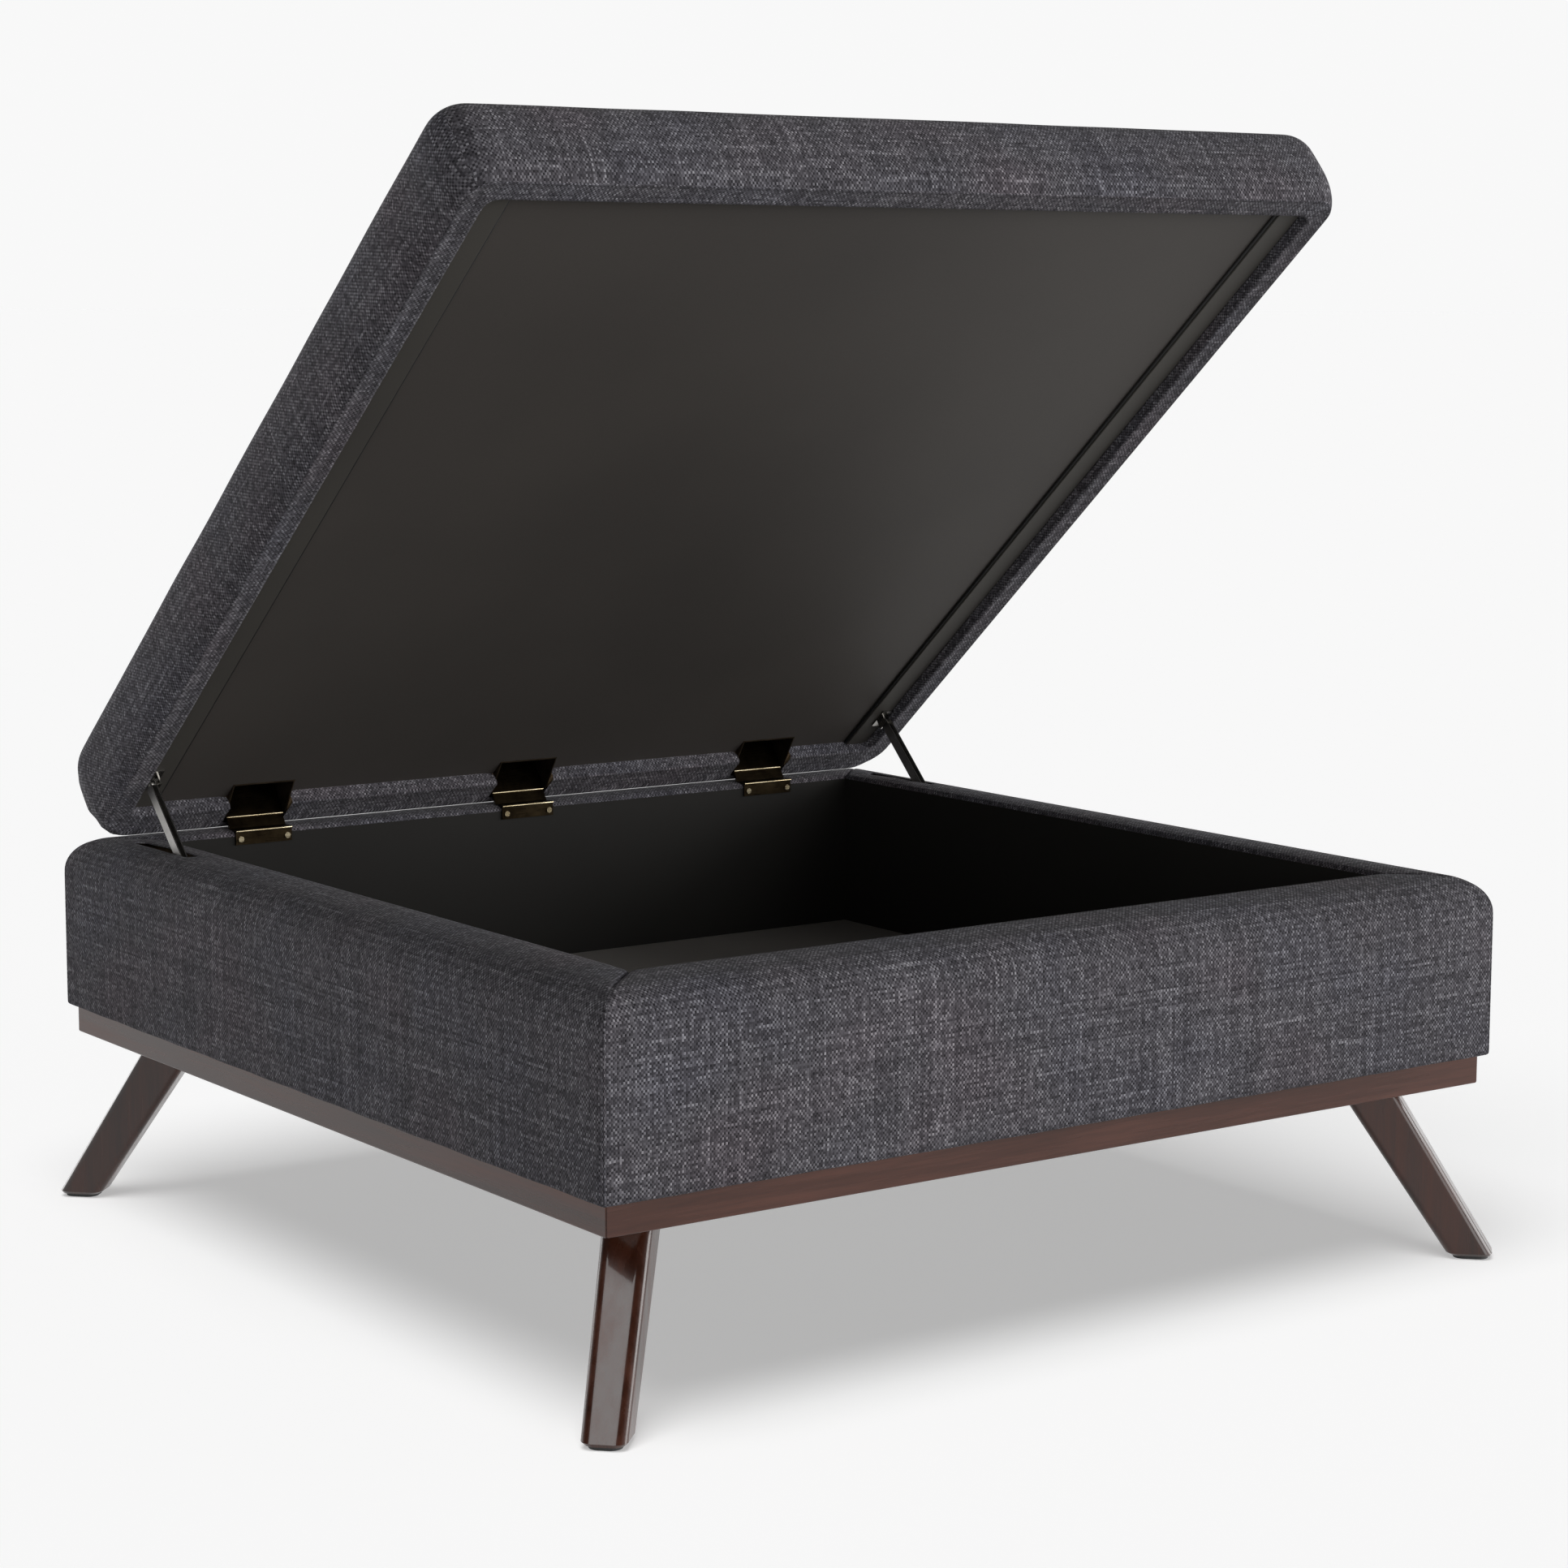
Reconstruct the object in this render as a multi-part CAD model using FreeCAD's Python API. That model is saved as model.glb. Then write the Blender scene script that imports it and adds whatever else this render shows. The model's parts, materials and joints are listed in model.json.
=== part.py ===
import FreeCAD, Part

import os
from math import atan2, cos, degrees, radians, sin, sqrt

Vector = FreeCAD.Vector

# Square upholstered ottoman with a storage well and a hinged padded lid, stored with the lid open.
# Origin on the floor under the middle, +X to the right, -Y towards the front, +Z up. Millimetres.
# Solids of the lid are drawn closed and flat, then swung open about the hinge axis.

# ---- overall size
WIDTH = 914.0
HALF = WIDTH / 2
RIM_Z = 336.0                # top of the walls
WALL = 69.0                  # thickness of the walls, cover to lining
PLINTH_Z = 154.0             # underside of the wooden plinth
PLINTH_TOP_Z = 179.0
PLINTH_INSET = 7.5           # the cover stands this far proud of the plinth

# ---- layers of a wall, from the outside inwards
SKIN = 1.5                   # upholstery fabric and lining
WALL_FOAM = 12.5
BOARD = 12.0
RIM_BOARD = 9.0
RIM_FOAM = 3.5
COVER_TURN_IN = 4.0          # how far the cover goes down inside the well
RIM_ROUND = 32.0             # soft outer edge of the rim
OUTER_BOARD_U = SKIN + WALL_FOAM
INNER_BOARD_U = WALL - SKIN - BOARD
RIM_BOARD_U = 20.0           # the rim board stands back from the rounding
RIM_BOARD_TOP_Z = RIM_Z - SKIN - RIM_FOAM
RIM_BOARD_Z = RIM_BOARD_TOP_Z - RIM_BOARD

# ---- floor of the well and the plinth
PLINTH_THICK = 20.0
FLOOR_Z = 170.0              # underside of the floor board
FLOOR_TOP_Z = FLOOR_Z + BOARD
FLOOR_LINER = 1.0
BLOCK = 100.0                # side of a corner block
BLOCK_Z = 160.0
SLAT_X = 150.0
SLAT_WIDTH = 50.0
SLAT_Z = 158.0
CLOTH_Z = 155.0
CLOTH = 1.0
CLOTH_GAP = 2.0              # the cloth stays clear of the corner blocks
FLOOR_PLAY = 0.5

# ---- legs, splayed out along the diagonals
LEG_TOP_Z = 157.0
LEG_TOP_REACH = 535.0        # distance of the leg's centre from the middle of the ottoman
LEG_FOOT_REACH = 634.0
LEG_TOP_SIZE = (50.0, 39.0)  # along and across the diagonal
LEG_FOOT_SIZE = (40.0, 35.5)
LEG_ROUND = 9.0
GLIDE = 3.0
FOOT_CHAMFER = 2.5
PLATE = 90.0
PLATE_THICK = BLOCK_Z - LEG_TOP_Z
PLATE_SCREW = 36.0
BOLT_R = 4.0
BOLT_Z = 135.0
BOLT_TOP_Z = 168.0

# ---- lid, drawn closed
LID_GAP = 2.2
LID_Z = RIM_Z + LID_GAP
LID_THICK = 86.0
LID_SIDE_IN = 5.0            # the lid's sides and front stand in from those of the base
LID_FRONT_IN = 11.0
LID_CORNER = 34.0
LID_TOP_ROUND = 30.0
LID_BOTTOM_ROUND = 10.0
RECESS_HALF = HALF - 36.6    # recess underneath, inside the fabric border
RECESS_FRONT_IN = 5.0        # its front edge is this much nearer the middle
RECESS = 13.0
PANEL = 2.0
STRIP_WIDTH = 26.0
STRIP = 4.0
RAIL_U = (16.0, 35.0)         # the frame rails, inside the side padding
FRONT_RAIL_U = (22.0, 40.0)
FRAME_CORNER = 34.0
DECK_IN = 4.0
RAIL_N = (3.0, 21.0)
DECK = 9.0

# ---- how the lid swings: its rear lower edge travels forward and down as it opens
LID_ANGLE = 40.2
EDGE_FORWARD = 40.1
EDGE_DROP = 2.6

# ---- concealed hinges
HINGE_X = (-287.4, 0.0, 287.4)
HINGE_NAMES = ("left", "centre", "right")
ARM_WIDTH = 58.0
ARM_THICK = 2.2
LEAF_THICK = 1.7
LEAF_Z = 324.0
TRAY_BACK_Y = 400.0
EYE_R = 5.5
PIN_R = 3.0
PIN_CLEARANCE = 0.05
CUP_HALF = 31.7
ARM_BEAD_R = 1.0             # pressed stiffening beads across the leaf and the arm
ARM_BEAD_RISE = 12.0
CUP_S = (11.0, 55.0)
CUP_N = (1.5, 62.2)
CUP_MOUTH_S = 20.0           # from here to the front the cup's edge slopes up to the recess
CUP_WALL = 1.2
CUP_EAR = 12.0
CUP_SCREW_S = (42.0, 49.5)
POCKET_PLAY = 0.3
LEAF_SCREW_X = 24.0
LEAF_SCREW_Z = 329.3
SCREW_R = 1.5
SCREW_HEAD_R = 2.8
SCREW_HEAD = 1.4

# ---- lid stays: channel bars that slide in the hollow side walls
STAY_X = 416.0
STAY_HALF = 3.2
STAY_WALL = 1.2
STAY_S = 85.0
STAY_N = 2.5
STAY_SLOPE = 45.0            # slope of the bar with the lid open
STAY_TO_GUIDE = 115.0        # from the bar's pivot to its guide pin, lid open
STAY_LEAST_REACH = 100.4     # the least that this becomes while the lid closes
STAY_END = 128.0
STAY_FRONT = 3.8
STAY_BACK = -6.4
STAY_PIN_R = 1.9
CHEEK_DROP = 3.6             # how far a bracket cheek reaches past its pin's centre
GUIDE_R = 1.7
GUIDE_SIDE_PLAY = 1.35       # the bar drifts this far across the guide pin at mid-travel
GUIDE_END_PLAY = 0.3
GUIDE_SLACK = 0.4
BRACKET_FOOT = 13.0          # half the length of a stay bracket's foot
BRACKET_PLAY = 0.4
CHEEK_HALF = 6.0
CHEEK_REACH = 3.0            # how far the foot goes on past the cheek
PIN_PROUD = 0.6
SLOT_Y = (272.0, 384.0)
SLOT_HALF = 6.0
FLANGE_R = 6.0
FLANGE = 1.5

FAR = 2000.0
SIDES = {"front": 0, "right": 90, "rear": 180, "left": 270}
CORNERS = {"front_right": -45, "rear_right": 45, "rear_left": 135, "front_left": 225}
X_AXIS = Vector(1, 0, 0)
Y_AXIS = Vector(0, 1, 0)
Z_AXIS = Vector(0, 0, 1)


def hinge_axis():
    """The centre of the turn that takes the rear lower edge of the lid from closed to open."""
    turn = radians(LID_ANGLE)
    half_cot = 0.5 * sin(turn) / (1 - cos(turn))
    move_y = -EDGE_FORWARD
    move_z = -EDGE_DROP
    y = HALF + move_y / 2 + half_cot * move_z
    z = LID_Z + move_z / 2 - half_cot * move_y
    return Vector(0, y, z)


AXIS = hinge_axis()


# ---------------------------------------------------------------- small shape helpers
def box(x, y, z):
    """A box from three (low, high) ranges."""
    corner = Vector(x[0], y[0], z[0])
    return Part.makeBox(x[1] - x[0], y[1] - y[0], z[1] - z[0], corner)


def square(half, low, high):
    return box((-half, half), (-half, half), (low, high))


def rod(start, end, radius):
    along = end - start
    return Part.makeCylinder(radius, along.Length, start, along)


def rounded_face(points, radii):
    """A flat face through the points, each corner rounded by its radius (0 leaves it sharp)."""
    count = len(points)
    edges = []
    ends = []
    for i in range(count):
        corner = points[i]
        to_last = (points[i - 1] - corner).normalize()
        to_next = (points[(i + 1) % count] - corner).normalize()
        half_angle = to_last.getAngle(to_next) / 2
        if radii[i] == 0:
            ends.append((corner, corner))
            continue
        setback = radii[i] * cos(half_angle) / sin(half_angle)
        start = corner + to_last * setback
        end = corner + to_next * setback
        bisector = (to_last + to_next).normalize()
        middle = corner + bisector * (radii[i] / sin(half_angle) - radii[i])
        edges.append(Part.Arc(start, middle, end).toShape())
        ends.append((start, end))
    for i in range(count):
        start = ends[i][1]
        end = ends[(i + 1) % count][0]
        edges.append(Part.LineSegment(start, end).toShape())
    return Part.Face(Part.Wire(Part.sortEdges(edges)[0]))


def side_solid(profile, side, radii=None):
    """A wall layer: a (depth, height) profile run along one side and mitred at both corners."""
    points = [Vector(-HALF, depth - HALF, height) for depth, height in profile]
    face = rounded_face(points, radii or [0] * len(points))
    run = face.extrude(Vector(WIDTH, 0, 0))
    corners = [Vector(-HALF, -HALF, 0), Vector(HALF, -HALF, 0), Vector(0, 0, 0)]
    wedge = Part.Face(Part.makePolygon(corners + corners[:1])).extrude(Vector(0, 0, FAR))
    solid = run.common(wedge)
    solid.rotate(Vector(), Z_AXIS, SIDES[side])
    return solid


def layer(depth, height):
    """The profile of a plain rectangular layer."""
    return [(depth[0], height[0]), (depth[1], height[0]), (depth[1], height[1]), (depth[0], height[1])]


def group(solids):
    return Part.makeCompound(solids)


def swing_open(shape):
    turned = shape.copy()
    turned.rotate(AXIS, X_AXIS, -LID_ANGLE)
    return turned


def lid_range_y(s):
    """Distances from the rear edge of the closed lid, as a range in y."""
    return (HALF - s[1], HALF - s[0])


def lid_range_z(n):
    """Heights over the underside of the closed lid, as a range in z."""
    return (LID_Z + n[0], LID_Z + n[1])


def export(name, shape):
    shape.exportStep("parts/" + name + ".step")


# ---------------------------------------------------------------- legs and plinth
def leg_section(reach, size, z):
    """A rounded rectangle across the leg, drawn on the +X axis and turned to its corner later."""
    dx = size[0] / 2
    dy = size[1] / 2
    points = [Vector(reach + sx * dx, sy * dy, z) for sx, sy in ((-1, -1), (1, -1), (1, 1), (-1, 1))]
    return rounded_face(points, [LEG_ROUND] * 4).OuterWire


def leg_reach(z):
    rise = (z - GLIDE) / (LEG_TOP_Z - GLIDE)
    return LEG_FOOT_REACH + (LEG_TOP_REACH - LEG_FOOT_REACH) * rise


def leg(turn):
    sole = (LEG_FOOT_SIZE[0] - 2 * FOOT_CHAMFER, LEG_FOOT_SIZE[1] - 2 * FOOT_CHAMFER)
    edge_z = GLIDE + FOOT_CHAMFER
    sections = [
        leg_section(leg_reach(GLIDE), sole, GLIDE),
        leg_section(leg_reach(edge_z), LEG_FOOT_SIZE, edge_z),
        leg_section(LEG_TOP_REACH, LEG_TOP_SIZE, LEG_TOP_Z),
    ]
    solid = Part.makeLoft(sections, True, True)
    return at_corner(solid.cut(leg_bolt()), turn)


def leg_bolt():
    return rod(Vector(LEG_TOP_REACH, 0, BOLT_Z), Vector(LEG_TOP_REACH, 0, BOLT_TOP_Z), BOLT_R)


def at_corner(shape, turn):
    placed = shape.copy()
    placed.rotate(Vector(), Z_AXIS, turn)
    return placed


def at_corners(shape):
    return [at_corner(shape, turn) for turn in CORNERS.values()]


def glide():
    size = (LEG_FOOT_SIZE[0] - 4 * FOOT_CHAMFER, LEG_FOOT_SIZE[1] - 4 * FOOT_CHAMFER)
    wire = leg_section(LEG_FOOT_REACH, size, 0)
    return Part.Face(wire).extrude(Vector(0, 0, GLIDE))


def plate_spots():
    """Screw places of the leg plate on the +X axis, square to the plinth after turning."""
    arm = PLATE_SCREW * sqrt(2)
    return [(LEG_TOP_REACH + dx, dy) for dx, dy in ((arm, 0), (-arm, 0), (0, arm), (0, -arm))]


def plate_screw(x, y):
    shank = rod(Vector(x, y, LEG_TOP_Z), Vector(x, y, BOLT_TOP_Z), SCREW_R)
    head = rod(Vector(x, y, LEG_TOP_Z - SCREW_HEAD), Vector(x, y, LEG_TOP_Z), SCREW_HEAD_R)
    return shank.fuse(head)


def plate_screws():
    return [plate_screw(x, y) for x, y in plate_spots()]


def leg_plate():
    half = PLATE / 2
    plate = box((-half, half), (-half, half), (LEG_TOP_Z, BLOCK_Z))
    plate.rotate(Vector(), Z_AXIS, 45)
    plate.translate(Vector(LEG_TOP_REACH, 0, 0))
    for screw in plate_screws():
        plate = plate.cut(screw)
    return plate.cut(leg_bolt())


def corner_block():
    inner = HALF - PLINTH_INSET - PLINTH_THICK
    solid = box((inner - BLOCK, inner), (inner - BLOCK, inner), (BLOCK_Z, FLOOR_Z))
    solid.rotate(Vector(), Z_AXIS, -45)
    for screw in plate_screws():
        solid = solid.cut(screw)
    return solid.cut(leg_bolt())


def plinth_rail(side):
    depth = (PLINTH_INSET, PLINTH_INSET + PLINTH_THICK)
    return side_solid(layer(depth, (PLINTH_Z, PLINTH_TOP_Z)), side)


def slats():
    reach = HALF - PLINTH_INSET - PLINTH_THICK
    half = SLAT_WIDTH / 2
    return [box((x - half, x + half), (-reach, reach), (SLAT_Z, FLOOR_Z)) for x in (-SLAT_X, SLAT_X)]


def underside_cloth():
    reach = HALF - PLINTH_INSET - PLINTH_THICK
    sheet = square(reach, CLOTH_Z, CLOTH_Z + CLOTH)
    cut = reach - BLOCK - CLOTH_GAP
    for sx in (-1, 1):
        for sy in (-1, 1):
            hole = square(BLOCK, CLOTH_Z - 1, CLOTH_Z + CLOTH + 1)
            hole.translate(Vector(sx * (cut + BLOCK), sy * (cut + BLOCK), 0))
            sheet = sheet.cut(hole)
    return sheet


# ---------------------------------------------------------------- walls and well
def stay_slots(low, high):
    """The two slots in the rims of the side walls that the stays pass through."""
    return [
        box((x - SLOT_HALF, x + SLOT_HALF), SLOT_Y, (low, high))
        for x in (-STAY_X, STAY_X)
    ]


def cut_all(shape, tools):
    for tool in tools:
        shape = shape.cut(tool)
    return shape


def base_cover(side):
    """Fabric over the outside of a wall, over the rim and a little way down inside."""
    turn_in_z = RIM_Z - COVER_TURN_IN
    profile = [
        (0, PLINTH_TOP_Z), (0, RIM_Z), (WALL, RIM_Z), (WALL, turn_in_z), (WALL - SKIN, turn_in_z),
        (WALL - SKIN, RIM_Z - SKIN), (SKIN, RIM_Z - SKIN), (SKIN, PLINTH_TOP_Z),
    ]
    inside = RIM_ROUND - SKIN
    solid = side_solid(profile, side, [0, RIM_ROUND, 2 * SKIN, 0, 0, SKIN, inside, 0])
    return cut_all(solid, stay_slots(turn_in_z, RIM_Z + 1))


def wall_foam(side):
    profile = [
        (SKIN, PLINTH_TOP_Z), (SKIN, RIM_Z - SKIN), (WALL - SKIN, RIM_Z - SKIN),
        (WALL - SKIN, RIM_BOARD_TOP_Z), (RIM_BOARD_U, RIM_BOARD_TOP_Z), (RIM_BOARD_U, RIM_BOARD_Z),
        (OUTER_BOARD_U, RIM_BOARD_Z), (OUTER_BOARD_U, PLINTH_TOP_Z),
    ]
    solid = side_solid(profile, side, [0, RIM_ROUND - SKIN, SKIN, 0, 0, 0, 0, 0])
    return cut_all(solid, stay_slots(RIM_BOARD_TOP_Z - 1, RIM_Z))


def outer_board(side):
    depth = (OUTER_BOARD_U, OUTER_BOARD_U + BOARD)
    return side_solid(layer(depth, (PLINTH_TOP_Z, RIM_BOARD_Z)), side)


def inner_board(side):
    depth = (INNER_BOARD_U, INNER_BOARD_U + BOARD)
    return side_solid(layer(depth, (FLOOR_TOP_Z, RIM_BOARD_Z)), side)


def rim_board(side):
    depth = (RIM_BOARD_U, WALL - SKIN)
    solid = side_solid(layer(depth, (RIM_BOARD_Z, RIM_BOARD_TOP_Z)), side)
    solid = cut_all(solid, stay_slots(RIM_BOARD_Z - 1, RIM_BOARD_TOP_Z + 1))
    return cut_all(solid, leaf_screw_solids())


def floor_board():
    reach = HALF - PLINTH_INSET - PLINTH_THICK - FLOOR_PLAY
    return square(reach, FLOOR_Z, FLOOR_TOP_Z)


def floor_liner():
    return square(HALF - WALL + SKIN, FLOOR_TOP_Z, FLOOR_TOP_Z + FLOOR_LINER)


def wall_liner(side):
    depth = (WALL - SKIN, WALL)
    height = (FLOOR_TOP_Z + FLOOR_LINER, RIM_Z - COVER_TURN_IN)
    return cut_all(side_solid(layer(depth, height), side), leaf_screw_solids())


# ---------------------------------------------------------------- hinges
def leaf_screw(x):
    face_y = HALF - WALL - LEAF_THICK
    middle = Vector(x, face_y, LEAF_SCREW_Z)
    head = rod(middle - Y_AXIS * SCREW_HEAD, middle, SCREW_HEAD_R)
    shank = rod(middle, middle + Y_AXIS * BOARD, SCREW_R)
    return head.fuse(shank)


def leaf_screw_solids():
    return [leaf_screw(x + side * LEAF_SCREW_X) for x in HINGE_X for side in (-1, 1)]


def hinge_arm(x):
    """Leaf on the inner wall, tray over the rim and a sloping arm up to the eye on the pin."""
    width = (x - ARM_WIDTH / 2, x + ARM_WIDTH / 2)
    front_y = HALF - WALL - LEAF_THICK
    tray_top_z = RIM_Z + LEAF_THICK
    leaf = box(width, (front_y, HALF - WALL), (LEAF_Z, tray_top_z))
    tray = box(width, (front_y, TRAY_BACK_Y), (RIM_Z, tray_top_z))
    start = Vector(width[0], TRAY_BACK_Y - ARM_THICK / 4, RIM_Z + LEAF_THICK / 2)
    end = Vector(width[0], AXIS.y, AXIS.z)
    across = (end - start).normalize().cross(X_AXIS) * (ARM_THICK / 2)
    corners = [start + across, end + across, end - across, start - across]
    arm = Part.Face(Part.makePolygon(corners + corners[:1])).extrude(X_AXIS * ARM_WIDTH)
    eye = rod(end, end + X_AXIS * ARM_WIDTH, EYE_R)
    bore = rod(end - X_AXIS, end + X_AXIS * (ARM_WIDTH + 1), PIN_R + PIN_CLEARANCE)
    leaf_bead = Vector(width[0], front_y, tray_top_z - ARM_BEAD_R)
    arm_bead = start + (end - start).normalize() * ARM_BEAD_RISE + across
    beads = [rod(spot, spot + X_AXIS * ARM_WIDTH, ARM_BEAD_R) for spot in (leaf_bead, arm_bead)]
    solid = leaf.fuse([tray, arm, eye] + beads).cut(bore)
    return cut_all(solid, leaf_screw_solids()).removeSplitter()


def hinge_pin(x):
    start = Vector(x - CUP_HALF, AXIS.y, AXIS.z)
    return rod(start, start + X_AXIS * (2 * CUP_HALF), PIN_R)


def cup_block(x, grow):
    """The outside of a hinge cup in the closed lid, grown for the pocket that it sits in."""
    return box(
        (x - CUP_HALF - grow, x + CUP_HALF + grow),
        lid_range_y((CUP_S[0] - grow, CUP_S[1] + grow)),
        lid_range_z((-1 if grow else CUP_N[0], CUP_N[1] + grow)),
    )


def cup_pockets():
    return [cup_block(x, POCKET_PLAY) for x in HINGE_X]


def cup_ears(x):
    ears = []
    for side in (-1, 1):
        span = sorted((x + side * CUP_HALF, x + side * (CUP_HALF + CUP_EAR)))
        s = (HALF - RECESS_HALF + CUP_WALL, CUP_S[1] - CUP_WALL)
        ears.append(box(span, lid_range_y(s), lid_range_z((RAIL_N[1] - CUP_WALL, RAIL_N[1]))))
    return ears


def hinge_cup(x):
    inside = box(
        (x - CUP_HALF + CUP_WALL, x + CUP_HALF - CUP_WALL),
        lid_range_y((CUP_S[0] + CUP_WALL, CUP_S[1] - CUP_WALL)),
        lid_range_z((-1, CUP_N[1] - CUP_WALL)),
    )
    shell = cup_block(x, 0).fuse(cup_ears(x)).cut([inside, cup_mouth(x)])
    return cut_all(shell.cut(hinge_pin(x)), [cup_screw(*spot) for spot in cup_spots(x)])


def cup_mouth(x):
    """What is cut off the cup's lower edge, so that it slopes from the border up to the recess."""
    corners = [(CUP_MOUTH_S, CUP_N[0]), (CUP_S[1] + 1, RECESS), (CUP_S[1] + 1, 0), (CUP_MOUTH_S, 0)]
    points = [Vector(x - CUP_HALF, HALF - s, LID_Z + n) for s, n in corners]
    return Part.Face(Part.makePolygon(points + points[:1])).extrude(X_AXIS * (2 * CUP_HALF))


def cup_spots(x):
    offset = CUP_HALF + CUP_EAR / 2
    return [(x + side * offset, HALF - s) for side in (-1, 1) for s in CUP_SCREW_S]


def cup_screw(x, y):
    under = Vector(x, y, LID_Z + RAIL_N[1] - CUP_WALL)
    head = rod(under - Z_AXIS * SCREW_HEAD, under, SCREW_HEAD_R)
    shank = rod(under, under + Z_AXIS * (CUP_WALL + DECK - 1), SCREW_R)
    return head.fuse(shank)


def cup_screws():
    return [cup_screw(*spot) for x in HINGE_X for spot in cup_spots(x)]


# ---------------------------------------------------------------- lid
def upright_edges(block):
    return [edge for edge in block.Edges if abs(edge.tangentAt(0).z) > 0.9]


def lid_block(shrink):
    """The rounded outside of the closed lid, shrunk evenly."""
    half_x = HALF - LID_SIDE_IN - shrink
    span_y = (LID_FRONT_IN + shrink - HALF, HALF - shrink)
    block = box((-half_x, half_x), span_y, lid_range_z((shrink, LID_THICK - shrink)))
    block = block.makeFillet(LID_CORNER - shrink, upright_edges(block))
    low = [edge for edge in block.Edges if edge.BoundBox.ZMax < LID_Z + shrink + 0.1]
    block = block.makeFillet(LID_BOTTOM_ROUND - shrink, low)
    high = [edge for edge in block.Edges if edge.BoundBox.ZMin > LID_Z + LID_THICK - shrink - 0.1]
    return block.makeFillet(LID_TOP_ROUND - shrink, high)


def recess_block(grow, n):
    """A block that fills the recess in plan, grown evenly, between two heights n."""
    half = RECESS_HALF + grow
    return box((-half, half), (RECESS_FRONT_IN - half, half), lid_range_z(n))


def lid_cover():
    turn_up = recess_block(SKIN, (0, RECESS)).cut(recess_block(0, (-1, RECESS + 1)))
    stuffing = lid_block(SKIN).cut(turn_up)
    shell = lid_block(0).cut(stuffing).cut(recess_block(0, (-1, RECESS)))
    return cut_all(shell, cup_pockets())


def frame_block():
    """What the four frame rails fill in plan, from the underside of the lid up to the deck."""
    half = HALF - RAIL_U[0]
    block = box((-half, half), (FRONT_RAIL_U[0] - HALF, half), lid_range_z((0, RAIL_N[1])))
    return block.makeFillet(FRAME_CORNER, upright_edges(block))


def deck_block():
    slab = square(HALF, *lid_range_z((RAIL_N[1], RAIL_N[1] + DECK)))
    return slab.common(lid_block(DECK_IN))


def lid_rail(side):
    depth = FRONT_RAIL_U if side == "front" else RAIL_U
    rail = side_solid(layer(depth, lid_range_z(RAIL_N)), side).common(frame_block())
    return cut_all(rail, cup_pockets())


def lid_deck():
    return cut_all(deck_block(), cup_pockets() + cup_screws())


def lid_foam():
    """The slab over the deck, carried down round the frame rails as side padding."""
    foam = lid_block(SKIN).cut([frame_block(), deck_block()])
    return cut_all(foam, cup_pockets())


def lid_panel():
    return cut_all(recess_block(SKIN, (RECESS, RECESS + PANEL)), cup_pockets())


def lid_strip(side):
    span = sorted((side * RECESS_HALF, side * (RECESS_HALF - STRIP_WIDTH)))
    span_y = (RECESS_FRONT_IN - RECESS_HALF, RECESS_HALF)
    return box(span, span_y, lid_range_z((RECESS - STRIP, RECESS)))


# ---------------------------------------------------------------- stays
def stay_pivot(side):
    """Pivot of a stay on the closed lid."""
    return Vector(side * STAY_X, HALF - STAY_S, LID_Z + STAY_N)


def swung_pivot(side):
    turn = FreeCAD.Rotation(X_AXIS, -LID_ANGLE)
    axis = Vector(side * STAY_X, AXIS.y, AXIS.z)
    return axis + turn.multVec(stay_pivot(side) - axis)


def stay_directions():
    """Along the open stay towards its lower end, and across it towards the front."""
    slope = radians(STAY_SLOPE)
    return Vector(0, -cos(slope), -sin(slope)), Vector(0, -sin(slope), cos(slope))


def stay_bracket(side):
    foot_n = RECESS - STRIP - FLANGE
    inner = STAY_X - STAY_HALF - 3 * STAY_WALL
    foot_x = sorted((side * (inner - CHEEK_REACH), side * (RECESS_HALF - BRACKET_PLAY)))
    foot_s = (STAY_S - BRACKET_FOOT, STAY_S + BRACKET_FOOT)
    foot = box(foot_x, lid_range_y(foot_s), lid_range_z((foot_n, RECESS - STRIP)))
    cheek_x = sorted((side * inner, side * (inner + FLANGE)))
    cheek_s = (STAY_S - CHEEK_HALF, STAY_S + CHEEK_HALF)
    cheek = box(cheek_x, lid_range_y(cheek_s), lid_range_z((STAY_N - CHEEK_DROP, foot_n)))
    pivot = stay_pivot(side)
    start = Vector(side * inner, pivot.y, pivot.z)
    end = Vector(side * (STAY_X + STAY_HALF + PIN_PROUD), pivot.y, pivot.z)
    return foot.fuse([cheek, rod(start, end, STAY_PIN_R)]).removeSplitter()


def bar_prism(side, along, across, half_x):
    """A block on the open stay: ranges along it, across it and a half width in x."""
    a, b = stay_directions()
    origin = swung_pivot(side) - X_AXIS * half_x
    corners = [origin + a * i + b * j for i, j in (
        (along[0], across[0]), (along[1], across[0]), (along[1], across[1]), (along[0], across[1]))]
    return Part.Face(Part.makePolygon(corners + corners[:1])).extrude(X_AXIS * (2 * half_x))


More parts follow.
